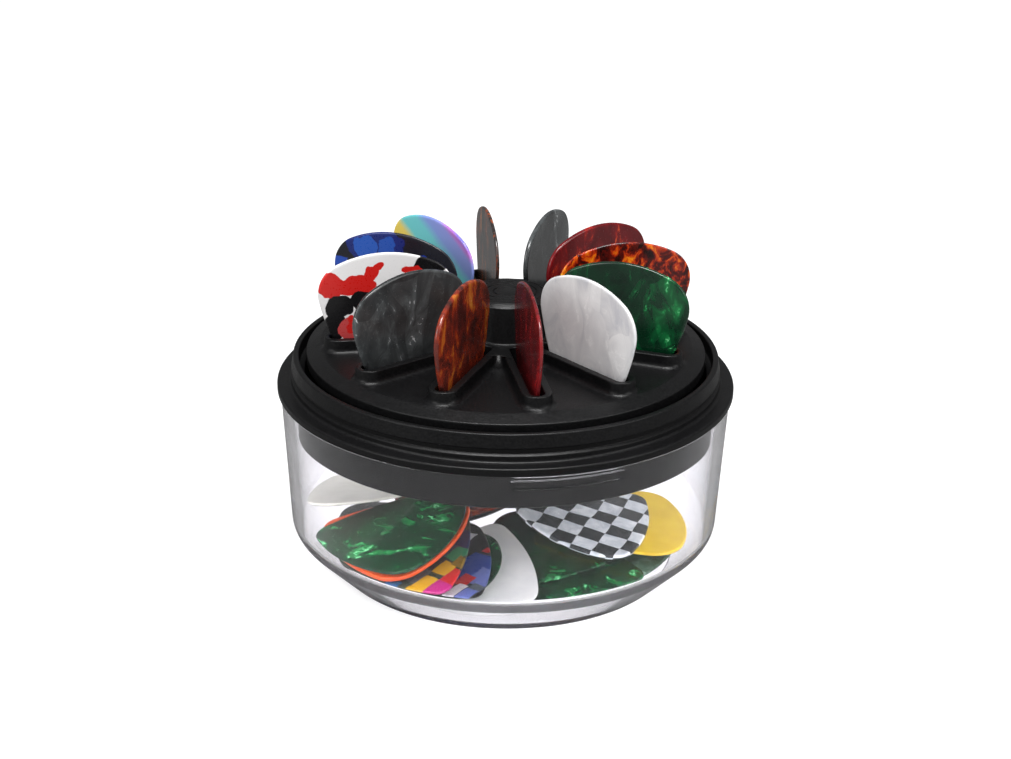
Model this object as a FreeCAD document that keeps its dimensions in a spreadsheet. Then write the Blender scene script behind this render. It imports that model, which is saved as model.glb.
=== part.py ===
"""Rotating guitar-pick holder: a clear bowl, a black lid and a turning carousel of picks.

Frame: origin at the centre of the bowl's foot, +Z up along the axis that the lid, the
carousel and the bowl share, -Y towards the front.  Millimetres.
"""
import FreeCAD, Part
import math
import os
import Sketcher

from FreeCAD import Placement, Rotation, Vector

Z_AXIS = Vector(0, 0, 1)
SLOT_COUNT = 12

# alias: (value in mm or degrees, what it is)
DIMENSIONS = {
    # bowl
    "foot_radius": (34.4, "outer radius of the flat foot"),
    "knuckle_radius": (42.45, "outer radius where the cone meets the wall"),
    "knuckle_height": (8.1, "height where the cone meets the wall"),
    "rim_radius": (44.0, "outer radius of the bowl's rim"),
    "rim_height": (36.0, "height of the bowl's rim"),
    "bowl_wall": (2.0, "wall thickness of the bowl"),
    "inner_foot_radius": (33.95, "radius of the flat inner floor"),
    "inner_floor": (2.4, "height of the inner floor"),
    "inner_knuckle_radius": (40.5, "inner radius where the cone meets the wall"),
    "inner_knuckle_height": (8.97, "inner height where the cone meets the wall"),
    "kick_radius": (32.6, "radius of the shallow recess under the foot"),
    "kick_depth": (0.6, "depth of that recess"),
    "lug_count": (3, "snap lugs inside the rim"),
    "lug_span": (28.0, "angle that one lug covers"),
    "lug_centre_angle": (-74.0, "direction of the first lug"),
    "lug_bottom": (32.7, "height of a lug's lower edge"),
    "lug_height": (1.8, "height of a lug"),
    "lug_crest_radius": (41.2, "radius of a lug's inner face"),
    "lug_root_radius": (42.8, "radius inside the wall where a lug starts"),
    # lid
    "brim_radius": (44.65, "outer radius of the brim"),
    "brim_bottom": (36.1, "underside of the brim"),
    "brim_top": (37.7, "top of the brim"),
    "brim_round": (0.3, "bevel on the brim's edges"),
    "band_radius": (41.9, "radius of the band above the brim"),
    "band_top": (38.9, "top of that band"),
    "neck_radius": (41.35, "radius of the shadow groove"),
    "neck_bottom": (39.3, "lower edge of the groove's flat"),
    "neck_top": (40.15, "upper edge of the groove's flat"),
    "ledge_radius": (41.85, "radius of the ledge over the groove"),
    "ledge_height": (40.4, "height of the ledge's edge"),
    "ring_radius": (41.4, "outer radius at the top of the ring"),
    "ring_top": (43.0, "top of the ring round the carousel"),
    "ring_bore": (40.3, "inner radius of the ring"),
    "ring_round": (0.3, "bevel on the ring's top edges"),
    "well_radius": (39.2, "inner radius of the lid below the ring"),
    "well_step_height": (39.8, "height where the ring bore steps in"),
    "skirt_radius": (40.9, "outer radius of the skirt at its lower edge"),
    "skirt_top_radius": (41.1, "outer radius of the skirt under the brim"),
    "skirt_bottom": (28.6, "lower edge of the skirt"),
    "web_bottom": (29.6, "underside of the lid's web"),
    "web_top": (31.2, "upper side of the lid's web"),
    "seal_groove_inner": (42.0, "inner radius of the seal's groove"),
    "seal_groove_outer": (43.6, "outer radius of the seal's groove"),
    "seal_groove_top": (36.84, "top of the seal's groove"),
    "spindle_radius": (4.0, "radius of the lid's spindle"),
    "spindle_top": (47.1, "top of the spindle"),
    "pilot_radius": (1.55, "radius of the screw's hole in the spindle"),
    "pilot_bottom": (35.0, "bottom of the screw's hole"),
    # seal
    "seal_inner": (42.1, "inner radius of the seal"),
    "seal_outer": (43.5, "outer radius of the seal"),
    "seal_bottom": (36.02, "underside of the seal"),
    "seal_top": (36.8, "top of the seal"),
    # carousel
    "disc_radius": (38.83, "edge radius of the carousel disc"),
    "disc_edge_bottom": (41.6, "lower edge of the disc's rim"),
    "disc_edge_top": (43.7, "upper edge of the disc's rim"),
    "disc_slope_radius": (36.0, "radius where the sloped border starts"),
    "disc_top": (44.9, "flat top of the disc"),
    "disc_underside": (43.1, "underside of the disc"),
    "disc_rim_inner": (37.3, "inner radius of the disc's rim"),
    "root_radius": (14.9, "radius where two neighbouring collars part"),
    "hub_foot_radius": (9.47, "radius of the hub where it leaves the collars"),
    "hub_radius": (8.3, "radius of the hub at its bevel"),
    "hub_bevel_radius": (7.45, "inner radius of the hub's bevel"),
    "hub_bevel_bottom": (54.3, "lower edge of the hub's bevel"),
    "hub_top": (55.0, "top of the hub"),
    "hub_bore": (4.05, "bore that runs on the spindle"),
    "hub_tube_radius": (6.0, "outer radius of the tube under the disc"),
    "hub_tube_bottom": (32.0, "lower end of the tube and of the pockets"),
    "well_floor": (46.95, "floor of the hub's counterbore"),
    "well_bore": (6.4, "radius of the hub's counterbore"),
    "cap_seat_radius": (7.15, "radius of the cap's seat"),
    "cap_seat_height": (53.2, "height of the cap's seat"),
    "slot_start_angle": (10.0, "direction of the first slot"),
    "slot_inner_centre": (11.7, "radius of a slot's inner end centre"),
    "slot_outer_centre": (33.15, "radius of a slot's outer end centre"),
    "slot_half_width": (1.3, "half of a slot's width"),
    "slot_floor": (33.0, "bottom of a slot"),
    "pocket_half_width": (2.4, "half of a pocket's outer width"),
    "collar_inner_centre": (9.5, "radius of a collar's inner end centre"),
    "collar_outer_centre": (32.6, "radius of a collar's outer end centre"),
    "collar_half_width": (2.8, "half of a collar's width"),
    "collar_top": (47.4, "top of a collar"),
    "flare_half_width": (3.4, "half width of the flare at a collar's root"),
    "flare_height": (0.6, "height of the flare"),
    "flare_taper": (-45.0, "slope of the flare's sides"),
    # hub cap
    "cap_radius": (7.05, "radius of the hub cap"),
    "cap_plug_radius": (6.3, "outer radius of the cap's plug"),
    "cap_plug_bore": (5.2, "inner radius of the cap's plug"),
    "cap_plug_bottom": (51.4, "lower edge of the cap's plug"),
    "cap_groove_depth": (0.25, "depth of the cap's ring grooves"),
    "cap_groove_width": (0.35, "width of the cap's ring grooves"),
    "cap_outer_groove": (5.6, "inner radius of the outer ring groove"),
    "cap_middle_groove": (4.0, "inner radius of the middle ring groove"),
    "cap_inner_groove": (2.4, "inner radius of the inner ring groove"),
    # pivot hardware
    "glide_inner": (4.2, "inner radius of the glide washer"),
    "glide_outer": (8.0, "outer radius of the glide washer"),
    "glide_top": (31.9, "top of the glide washer"),
    "washer_bore": (1.7, "bore of the retaining washer"),
    "washer_radius": (5.6, "radius of the retaining washer"),
    "washer_thickness": (0.8, "thickness of the retaining washer"),
    "screw_radius": (1.5, "radius of the pivot screw's thread"),
    "screw_tip": (36.5, "lower end of the pivot screw"),
    "screw_head_radius": (2.9, "radius of the pivot screw's head"),
    "screw_head_height": (2.0, "height of the pivot screw's head"),
    "drive_depth": (1.1, "depth of the cross recess"),
    "drive_half_length": (1.5, "half length of the cross recess"),
    "drive_half_width": (0.3, "half width of the cross recess"),
    # picks
    "pick_height": (30.5, "height of a pick"),
    "pick_origin_depth": (13.0, "distance from a pick's upper edge down to its own origin"),
    "pick_crown_radius": (21.8, "radius of a pick's upper edge"),
    "pick_shoulder_radius": (6.5, "radius of a pick's shoulders"),
    "pick_shoulder_offset": (6.6, "half the distance between the shoulder centres"),
    "pick_side_radius": (42.0, "radius of a pick's sides"),
    "pick_tip_radius": (2.6, "radius of a pick's tip"),
    "pick_thin": (0.5, "thickness of a thin pick"),
    "pick_medium": (0.7, "thickness of a medium pick"),
    "pick_heavy": (1.0, "thickness of a heavy pick"),
    "stored_pick_radius": (23.35, "radius of a stored pick's centre line"),
    "stored_pick_tip": (33.4, "height of a stored pick's tip"),
}

# name of each pick in the carousel, counter-clockwise from the slot left of the front
SLOT_PICKS = [
    ("slot_pick_01_tortoise", "pick_heavy"),
    ("slot_pick_02_red_pearl", "pick_medium"),
    ("slot_pick_03_white_pearl", "pick_medium"),
    ("slot_pick_04_green_pearl", "pick_heavy"),
    ("slot_pick_05_amber_tortoise", "pick_medium"),
    ("slot_pick_06_dark_red", "pick_heavy"),
    ("slot_pick_07_grey_pearl", "pick_heavy"),
    ("slot_pick_08_brown_tortoise", "pick_medium"),
    ("slot_pick_09_iridescent", "pick_medium"),
    ("slot_pick_10_blue_pearl", "pick_medium"),
    ("slot_pick_11_patchwork", "pick_medium"),
    ("slot_pick_12_grey_pearl", "pick_heavy"),
]
FIRST_SLOT_PICK_ANGLE = -110.0

# Picks that lie in the bowl: name, thickness, the place of the pick's own origin, its turn
# about Z (0 points the crown along +Y), and its lean about X and about Y, in degrees.
LOOSE_PICKS = [
    # right of the front, from the bottom up
    ("loose_pick_grey", "pick_medium", (22.0, -5.2, 4.9), 244, 7, -8),
    ("loose_pick_green_front", "pick_medium", (9.8, -16.4, 4.4), 77, 6, -2),
    ("loose_pick_green_middle", "pick_medium", (9.5, -10.5, 5.9), 92, 6, -2),
    ("loose_pick_yellow", "pick_medium", (23.4, -5.0, 8.4), 273, 2, 1),
    ("loose_pick_check", "pick_heavy", (17.0, -10.0, 11.3), 140, 1, 9),
    # left of the front, from the bottom up
    ("loose_pick_red", "pick_thin", (-10.2, -12.7, 2.72), 90, 0, 0),
    ("loose_pick_white", "pick_medium", (-5.1, -21.1, 5.6), 167, 5, 0),
    ("loose_pick_dark_green", "pick_medium", (-13.3, -20.9, 6.9), 260, 2, -3),
    ("loose_pick_patch_blue", "pick_thin", (-13.5, -20.5, 8.0), 30, 3, -4),
    ("loose_pick_patch_yellow", "pick_medium", (-17.2, -20.5, 10.2), 22, 8, -12),
    ("loose_pick_orange", "pick_heavy", (-20.1, -18.2, 11.6), 240, 8, -15),
    ("loose_pick_green_left", "pick_medium", (-20.2, -19.7, 13.1), 248, 7, -17),
    ("loose_pick_dark", "pick_medium", (-23.0, -2.0, 3.9), 340, 0, 0),
    ("loose_pick_cream", "pick_medium", (-28.0, -1.5, 13.4), 205, -14, -6),
    # behind, from the bottom up
    ("loose_pick_blue", "pick_medium", (-11.0, 14.0, 4.2), 345, -4, 3),
    ("loose_pick_amber", "pick_medium", (10.0, 17.0, 4.6), 295, -5, 4),
    ("loose_pick_dark_red", "pick_medium", (-2.0, 17.0, 6.5), 185, -4, 4),
    ("loose_pick_tortoise", "pick_heavy", (-10.0, 8.0, 9.1), 100, 3, 0),
    ("loose_pick_pale_blue", "pick_medium", (10.4, 19.5, 7.5), 255, -3, 1),
]

doc = FreeCAD.newDocument("PickHolder")
sheet = doc.addObject("Spreadsheet::Sheet", "Dimensions")


def fill_sheet():
    for row, (alias, (value, meaning)) in enumerate(DIMENSIONS.items(), start=1):
        sheet.set(f"A{row}", meaning)
        sheet.set(f"B{row}", str(value))
        sheet.setAlias(f"B{row}", alias)
    doc.recompute()


def value_of(formula):
    """The number of a sum such as 'rim_height - bowl_wall', read from the sheet."""
    total = 0.0
    sign = 1
    for word in formula.split():
        if word in ("+", "-"):
            sign = 1 if word == "+" else -1
        elif word in DIMENSIONS:
            total += sign * sheet.get(word)
        else:
            total += sign * float(word)
    return total


def bind(owner, target, formula):
    """Tie a property or constraint to the sheet with the same sum."""
    words = [f"Dimensions.{word}" if word in DIMENSIONS else word for word in formula.split()]
    owner.setExpression(target, " ".join(words))


def new_body(label):
    body = doc.addObject("PartDesign::Body", label)
    body.Label = label
    return body


def origin_plane(body, role):
    return next(item for item in body.Origin.OriginFeatures if item.Role == role)


def new_sketch(body, name, role, height=None, turn=None):
    """A sketch on one of the body's own planes, raised along Z and turned about Z if asked."""
    sketch = body.newObject("Sketcher::SketchObject", name)
    sketch.AttachmentSupport = [(origin_plane(body, role), "")]
    sketch.MapMode = "FlatFace"
    if height is not None:
        bind(sketch, ".AttachmentOffset.Base.z", height)
    if turn is not None:
        sketch.AttachmentOffset = Placement(Vector(0, 0, 0), Rotation(Z_AXIS, value_of(turn)))
        bind(sketch, ".AttachmentOffset.Rotation.Angle", turn)
        bind(sketch, ".AttachmentOffset.Base.z", height)
    return sketch


def constrain(sketch, formula, kind, *where):
    """Add a dimension to a sketch and tie it to the sheet."""
    index = sketch.addConstraint(Sketcher.Constraint(kind, *where, value_of(formula)))
    bind(sketch, f"Constraints[{index}]", formula)


def place_point(sketch, edge, end, across, up):
    """Hold one end of an edge at two sums measured from the sketch's origin."""
    if across == "0":
        sketch.addConstraint(Sketcher.Constraint("PointOnObject", edge, end, -2))
    else:
        constrain(sketch, across, "DistanceX", -1, 1, edge, end)
    if up == "0":
        sketch.addConstraint(Sketcher.Constraint("PointOnObject", edge, end, -1))
    else:
        constrain(sketch, up, "DistanceY", -1, 1, edge, end)


def closed_outline(sketch, corners):
    """Straight edges through corners, each a pair of sums."""
    points = [Vector(value_of(across), value_of(up), 0) for across, up in corners]
    for start, end in zip(points, points[1:] + points[:1]):
        sketch.addGeometry(Part.LineSegment(start, end))
    for edge in range(len(points)):
        following = (edge + 1) % len(points)
        sketch.addConstraint(Sketcher.Constraint("Coincident", edge, 2, following, 1))
    for edge, (across, up) in enumerate(corners):
        place_point(sketch, edge, 1, across, up)


def revolved(label, profile):
    """A body turned about Z from a closed profile of (radius, height) sums."""
    body = new_body(label)
    sketch = new_sketch(body, f"{label}_profile", "XZ_Plane")
    closed_outline(sketch, profile)
    turning = body.newObject("PartDesign::Revolution", f"{label}_turned")
    turning.Profile = sketch
    turning.ReferenceAxis = (sketch, ["V_Axis"])
    turning.Angle = 360
    doc.recompute()
    return body


def stadium_sketch(body, name, start, end, half_width, height):
    """A radial slot outline with round ends, along the direction of the first slot."""
    sketch = new_sketch(body, name, "XY_Plane", height, "slot_start_angle")
    near = Vector(value_of(start), 0, 0)
    far = Vector(value_of(end), 0, 0)
    radius = value_of(half_width)
    side = Vector(0, radius, 0)
    quarter = math.pi / 2
    sketch.addGeometry(Part.ArcOfCircle(Part.Circle(far, Z_AXIS, radius), -quarter, quarter))
    sketch.addGeometry(Part.LineSegment(far + side, near + side))
    sketch.addGeometry(Part.ArcOfCircle(Part.Circle(near, Z_AXIS, radius), quarter, 3 * quarter))
    sketch.addGeometry(Part.LineSegment(near - side, far - side))
    sketch.addConstraint(Sketcher.Constraint("Tangent", 0, 2, 1, 1))
    sketch.addConstraint(Sketcher.Constraint("Tangent", 1, 2, 2, 1))
    sketch.addConstraint(Sketcher.Constraint("Tangent", 2, 2, 3, 1))
    sketch.addConstraint(Sketcher.Constraint("Tangent", 3, 2, 0, 1))
    place_point(sketch, 0, 3, end, "0")
    place_point(sketch, 2, 3, start, "0")
    constrain(sketch, half_width, "Radius", 0)
    return sketch


def pad(body, sketch, length, taper=None):
    feature = body.newObject("PartDesign::Pad", f"{sketch.Name}_pad")
    feature.Profile = sketch
    bind(feature, "Length", length)
    if taper is not None:
        bind(feature, "TaperAngle", taper)
    return feature


def pocket(body, sketch, depth):
    """Cut downwards from the sketch, and make sure that it removes material."""
    doc.recompute()
    before = body.Shape.Volume
    feature = body.newObject("PartDesign::Pocket", f"{sketch.Name}_pocket")
    feature.Profile = sketch
    bind(feature, "Length", depth)
    doc.recompute()
    if body.Shape.Volume >= before:
        raise RuntimeError(f"{feature.Name} cuts nothing")
    return feature


def repeat_round(body, feature, sketch, count):
    """Repeat a feature all round Z."""
    pattern = body.newObject("PartDesign::PolarPattern", f"{feature.Name}_pattern")
    pattern.Originals = [feature]
    pattern.Axis = (sketch, ["N_Axis"])
    pattern.Angle = 360
    pattern.Occurrences = count
    body.Tip = pattern
    doc.recompute()
    return pattern


def make_bowl():
    body = revolved("bowl", [
        ("0", "kick_depth"),
        ("kick_radius - kick_depth", "kick_depth"),
        ("kick_radius", "0"),
        ("foot_radius", "0"),
        ("knuckle_radius", "knuckle_height"),
        ("rim_radius", "rim_height"),
        ("rim_radius - bowl_wall", "rim_height"),
        ("inner_knuckle_radius", "inner_knuckle_height"),
        ("inner_foot_radius", "inner_floor"),
        ("0", "inner_floor"),
    ])
    sketch = new_sketch(body, "lug_outline", "XY_Plane", "lug_bottom", "lug_centre_angle")
    half_span = math.radians(value_of("lug_span")) / 2
    crest = value_of("lug_crest_radius")
    root = value_of("lug_root_radius")
    centre = Vector(0, 0, 0)
    sketch.addGeometry(Part.ArcOfCircle(Part.Circle(centre, Z_AXIS, root), -half_span, half_span))
    sketch.addGeometry(Part.ArcOfCircle(Part.Circle(centre, Z_AXIS, crest), -half_span, half_span))
    for side, end in ((-1, 1), (1, 2)):
        direction = Vector(math.cos(half_span), side * math.sin(half_span), 0)
        edge = sketch.addGeometry(Part.LineSegment(direction * crest, direction * root))
        sketch.addConstraint(Sketcher.Constraint("Coincident", edge, 1, 1, end))
        sketch.addConstraint(Sketcher.Constraint("Coincident", edge, 2, 0, end))
    sketch.addConstraint(Sketcher.Constraint("Coincident", 0, 3, -1, 1))
    sketch.addConstraint(Sketcher.Constraint("Coincident", 1, 3, -1, 1))
    constrain(sketch, "lug_root_radius", "Radius", 0)
    constrain(sketch, "lug_crest_radius", "Radius", 1)
    lug = pad(body, sketch, "lug_height")
    repeat_round(body, lug, sketch, int(value_of("lug_count")))
    return body


def make_lid():
    return revolved("lid", [
        ("0", "web_bottom"),
        ("well_radius", "web_bottom"),
        ("well_radius + ring_round", "skirt_bottom"),
        ("skirt_radius - ring_round", "skirt_bottom"),
        ("skirt_radius", "skirt_bottom + ring_round"),
        ("skirt_top_radius", "brim_bottom"),
        ("seal_groove_inner", "brim_bottom"),
        ("seal_groove_inner", "seal_groove_top"),
        ("seal_groove_outer", "seal_groove_top"),
        ("seal_groove_outer", "brim_bottom"),
        ("brim_radius - brim_round", "brim_bottom"),
        ("brim_radius", "brim_bottom + brim_round"),
        ("brim_radius", "brim_top - brim_round"),
        ("brim_radius - brim_round", "brim_top"),
        ("band_radius + ring_round", "brim_top"),
        ("band_radius", "brim_top + ring_round"),
        ("band_radius", "band_top"),
        ("neck_radius", "neck_bottom"),
        ("neck_radius", "neck_top"),
        ("ledge_radius", "ledge_height"),
        ("ring_radius", "ring_top - ring_round"),
        ("ring_radius - ring_round", "ring_top"),
        ("ring_bore + ring_round", "ring_top"),
        ("ring_bore", "ring_top - ring_round"),
        ("ring_bore", "ledge_height"),
        ("well_radius", "well_step_height"),
        ("well_radius", "web_top"),
        ("spindle_radius", "web_top"),
        ("spindle_radius", "spindle_top"),
        ("pilot_radius", "spindle_top"),
        ("pilot_radius", "pilot_bottom"),
        ("0", "pilot_bottom"),
    ])


def make_seal():
    return revolved("seal_ring", [
        ("seal_inner", "seal_bottom"),
        ("seal_outer", "seal_bottom"),
        ("seal_outer", "seal_top"),
        ("seal_inner", "seal_top"),
    ])


def make_carousel():
    body = revolved("carousel", [
        ("hub_bore", "hub_tube_bottom"),
        ("hub_tube_radius", "hub_tube_bottom"),
        ("hub_tube_radius", "disc_underside"),
        ("disc_rim_inner", "disc_underside"),
        ("disc_rim_inner", "disc_edge_bottom"),
        ("disc_radius", "disc_edge_bottom"),
        ("disc_radius", "disc_edge_top"),
        ("disc_slope_radius", "disc_top"),
        ("root_radius", "disc_top"),
        ("root_radius", "collar_top"),
        ("hub_foot_radius", "collar_top"),
        ("hub_radius", "hub_bevel_bottom"),
        ("hub_bevel_radius", "hub_top"),
        ("cap_seat_radius", "hub_top"),
        ("cap_seat_radius", "cap_seat_height"),
        ("well_bore", "cap_seat_height"),
        ("well_bore", "well_floor"),
        ("hub_bore", "well_floor"),
    ])
    collar = stadium_sketch(body, "collar", "collar_inner_centre", "collar_outer_centre",
                            "collar_half_width", "disc_underside")
    repeat_round(body, pad(body, collar, "collar_top - disc_underside"), collar, SLOT_COUNT)
    flare = stadium_sketch(body, "flare", "collar_inner_centre", "collar_outer_centre",
                           "flare_half_width", "disc_top")
    repeat_round(body, pad(body, flare, "flare_height", "flare_taper"), flare, SLOT_COUNT)
    pocket_wall = stadium_sketch(body, "pocket_wall", "slot_inner_centre", "slot_outer_centre",
                                 "pocket_half_width", "hub_tube_bottom")
    repeat_round(body, pad(body, pocket_wall, "disc_top - hub_tube_bottom"), pocket_wall,
                 SLOT_COUNT)
    slot = stadium_sketch(body, "slot", "slot_inner_centre", "slot_outer_centre",
                          "slot_half_width", "collar_top")
    repeat_round(body, pocket(body, slot, "collar_top - slot_floor"), slot, SLOT_COUNT)
    return body


def make_hub_cap():
    grooves = []
    for groove in ("cap_outer_groove", "cap_middle_groove", "cap_inner_groove"):
        grooves.append((f"{groove} + cap_groove_width", "hub_top"))
        grooves.append((f"{groove} + cap_groove_width", "hub_top - cap_groove_depth"))
        grooves.append((groove, "hub_top - cap_groove_depth"))
        grooves.append((groove, "hub_top"))
    return revolved("hub_cap", [
        ("0", "cap_seat_height"),
        ("cap_plug_bore", "cap_seat_height"),
        ("cap_plug_bore", "cap_plug_bottom"),
        ("cap_plug_radius", "cap_plug_bottom"),
        ("cap_plug_radius", "cap_seat_height"),
        ("cap_radius", "cap_seat_height"),
        ("cap_radius", "hub_top"),
        *grooves,
        ("0", "hub_top"),
    ])


def make_pivot_hardware():
    revolved("glide_washer", [
        ("glide_inner", "web_top"),
        ("glide_outer", "web_top"),
        ("glide_outer", "glide_top"),
        ("glide_inner", "glide_top"),
    ])
    head_bottom = "spindle_top + washer_thickness"
    head_top = f"{head_bottom} + screw_head_height"
    revolved("retaining_washer", [
        ("washer_bore", "spindle_top"),
        ("washer_radius", "spindle_top"),
        ("washer_radius", head_bottom),
        ("washer_bore", head_bottom),
    ])
    screw = revolved("pivot_screw", [
        ("0", "screw_tip"),
        ("screw_radius - ring_round", "screw_tip"),
        ("screw_radius", "screw_tip + ring_round"),
        ("screw_radius", head_bottom),
        ("screw_head_radius", head_bottom),
        ("screw_head_radius", f"{head_top} - ring_round - ring_round"),
        ("screw_head_radius - ring_round - ring_round", head_top),
        ("0", head_top),
    ])
    recess = new_sketch(screw, "drive_recess", "XY_Plane", head_top)
    reach = "drive_half_length"
    arm = "drive_half_width"
    closed_outline(recess, [
        (reach, arm), (arm, arm), (arm, reach),
        (f"0 - {arm}", reach), (f"0 - {arm}", arm), (f"0 - {reach}", arm),
        (f"0 - {reach}", f"0 - {arm}"), (f"0 - {arm}", f"0 - {arm}"), (f"0 - {arm}", f"0 - {reach}"),
        (arm, f"0 - {reach}"), (arm, f"0 - {arm}"), (reach, f"0 - {arm}"),
    ])
    pocket(screw, recess, "drive_depth")


def pick_circles():
    """Centres and radii of the six circles that bound a pick, clockwise from the crown."""
    crown_radius = value_of("pick_crown_radius")
    shoulder_radius = value_of("pick_shoulder_radius")
    side_radius = value_of("pick_side_radius")
    tip_radius = value_of("pick_tip_radius")
    crown = Vector(0, value_of("pick_origin_depth - pick_crown_radius"), 0)
    tip = Vector(0, value_of("pick_origin_depth - pick_height + pick_tip_radius"), 0)
    offset = value_of("pick_shoulder_offset")
    rise = math.sqrt((crown_radius - shoulder_radius) ** 2 - offset ** 2)
    shoulder = Vector(offset, crown.y + rise, 0)
    # the side's circle holds both the shoulder's and the tip's, and touches each from inside
    to_tip = tip - shoulder
    gap = to_tip.Length
    from_shoulder = side_radius - shoulder_radius
    from_tip = side_radius - tip_radius
    along = (from_shoulder ** 2 - from_tip ** 2 + gap ** 2) / (2 * gap)
    away = math.sqrt(from_shoulder ** 2 - along ** 2)
    to_tip.normalize()
    side = shoulder + to_tip * along + Vector(to_tip.y, -to_tip.x, 0) * away

    def mirrored(centre):
        return Vector(-centre.x, centre.y, 0)

    return [
        (crown, crown_radius), (shoulder, shoulder_radius), (side, side_radius),
        (tip, tip_radius), (mirrored(side), side_radius), (mirrored(shoulder), shoulder_radius),
    ]


def touching_point(big, small):
    """Where a small circle touches the big one that holds it, from two (centre, radius)."""
    if big[1] < small[1]:
        big, small = small, big
    outward = small[0] - big[0]
    outward.normalize()
    return big[0] + outward * big[1]


def make_pick(label, thickness, placement):
    """A flat rounded-triangle pick, its crown towards its own +Z."""
    body = new_body(label)
    sketch = new_sketch(body, f"{label}_outline", "XZ_Plane")
    circles = pick_circles()
    count = len(circles)
    for index, circle in enumerate(circles):
        start = touching_point(circle, circles[(index + 1) % count])
        end = touching_point(circles[index - 1], circle)
        centre, radius = circle
        angles = [math.atan2(p.y - centre.y, p.x - centre.x) for p in (start, end)]
        sketch.addGeometry(Part.ArcOfCircle(Part.Circle(centre, Z_AXIS, radius), *angles))
    for index in range(count):
        sketch.addConstraint(Sketcher.Constraint("Tangent", index, 1, (index + 1) % count, 2))
    radii = ["pick_crown_radius", "pick_shoulder_radius", "pick_side_radius",
             "pick_tip_radius", "pick_side_radius", "pick_shoulder_radius"]
    for index, radius in enumerate(radii):
        constrain(sketch, radius, "Radius", index)
    place_point(sketch, 0, 3, "0", "pick_origin_depth - pick_crown_radius")
    place_point(sketch, 3, 3, "0", "pick_origin_depth - pick_height + pick_tip_radius")
    constrain(sketch, "pick_shoulder_offset", "DistanceX", -1, 1, 1, 3)
    constrain(sketch, "0 - pick_shoulder_offset", "DistanceX", -1, 1, 5, 3)
    plate = body.newObject("PartDesign::Pad", f"{label}_plate")
    plate.Profile = sketch
    plate.Midplane = True
    bind(plate, "Length", thickness)
    body.Placement = placement
    return body


def make_slot_picks():
    """One pick upright in each slot, its tip down and its face along the radius."""
    radius = value_of("stored_pick_radius")
    height = value_of("stored_pick_tip + pick_height - pick_origin_depth")
    for index, (label, thickness) in enumerate(SLOT_PICKS):
        angle = FIRST_SLOT_PICK_ANGLE + index * 360 / SLOT_COUNT
        turn = Rotation(Z_AXIS, angle)
        place = turn.multVec(Vector(radius, 0, 0)) + Vector(0, 0, height)
        make_pick(label, thickness, Placement(place, turn))


def make_loose_picks():
    """The picks that lie in the bowl, each laid flat, turned and then leaned."""
    lay_flat = Rotation(Vector(1, 0, 0), -90)
    for label, thickness, place, direction, lean_x, lean_y in LOOSE_PICKS:
        turn = Rotation(Z_AXIS, direction)
        lean = Rotation(Vector(lean_x, lean_y, 0), math.hypot(lean_x, lean_y))
        make_pick(label, thickness, Placement(Vector(*place), lean * turn * lay_flat))


def check_and_export():
    """Stop if any object failed or any sub-part is not one valid solid; then write the files."""
    doc.recompute()
    for item in doc.Objects:
        if "Invalid" in item.State or "Error" in item.State:
            raise RuntimeError(f"{item.Name} failed: {item.State}")
    os.makedirs("parts", exist_ok=True)
    for body in doc.findObjects("PartDesign::Body"):
        shape = body.Shape
        if shape.isNull() or not shape.isValid() or len(shape.Solids) != 1:
            raise RuntimeError(f"{body.Label} is not one valid solid")
        shape.exportStep(f"parts/{body.Label}.step")
        print(f"{body.Label}: {shape.Volume:.1f} cubic mm")


fill_sheet()
make_bowl()
make_lid()
make_seal()
make_carousel()
make_hub_cap()
make_pivot_hardware()
make_slot_picks()
make_loose_picks()
check_and_export()
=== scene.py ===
"""Looks of the rotating pick holder: a clear bowl, a black lid and a carousel of picks.

Lengths in the shape code are millimetres; every mesh is written in metres.
"""

import math

import bmesh
import bpy
from mathutils import Matrix, Vector


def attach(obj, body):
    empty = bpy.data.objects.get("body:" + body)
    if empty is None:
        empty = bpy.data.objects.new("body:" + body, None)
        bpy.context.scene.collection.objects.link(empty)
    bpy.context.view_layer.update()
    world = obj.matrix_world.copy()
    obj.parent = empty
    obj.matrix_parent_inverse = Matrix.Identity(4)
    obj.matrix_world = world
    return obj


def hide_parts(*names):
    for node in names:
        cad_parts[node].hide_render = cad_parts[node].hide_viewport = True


MM = 0.001
TAU = 2 * math.pi
WELD = 2e-6
PLACE = "place"

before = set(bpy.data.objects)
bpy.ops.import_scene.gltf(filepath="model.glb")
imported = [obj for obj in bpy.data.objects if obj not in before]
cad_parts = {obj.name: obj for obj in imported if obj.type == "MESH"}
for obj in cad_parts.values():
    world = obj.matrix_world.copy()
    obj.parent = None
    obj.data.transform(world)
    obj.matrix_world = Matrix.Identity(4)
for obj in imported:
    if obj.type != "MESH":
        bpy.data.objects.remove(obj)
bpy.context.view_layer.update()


# ---------------------------------------------------------------- shapes

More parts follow.
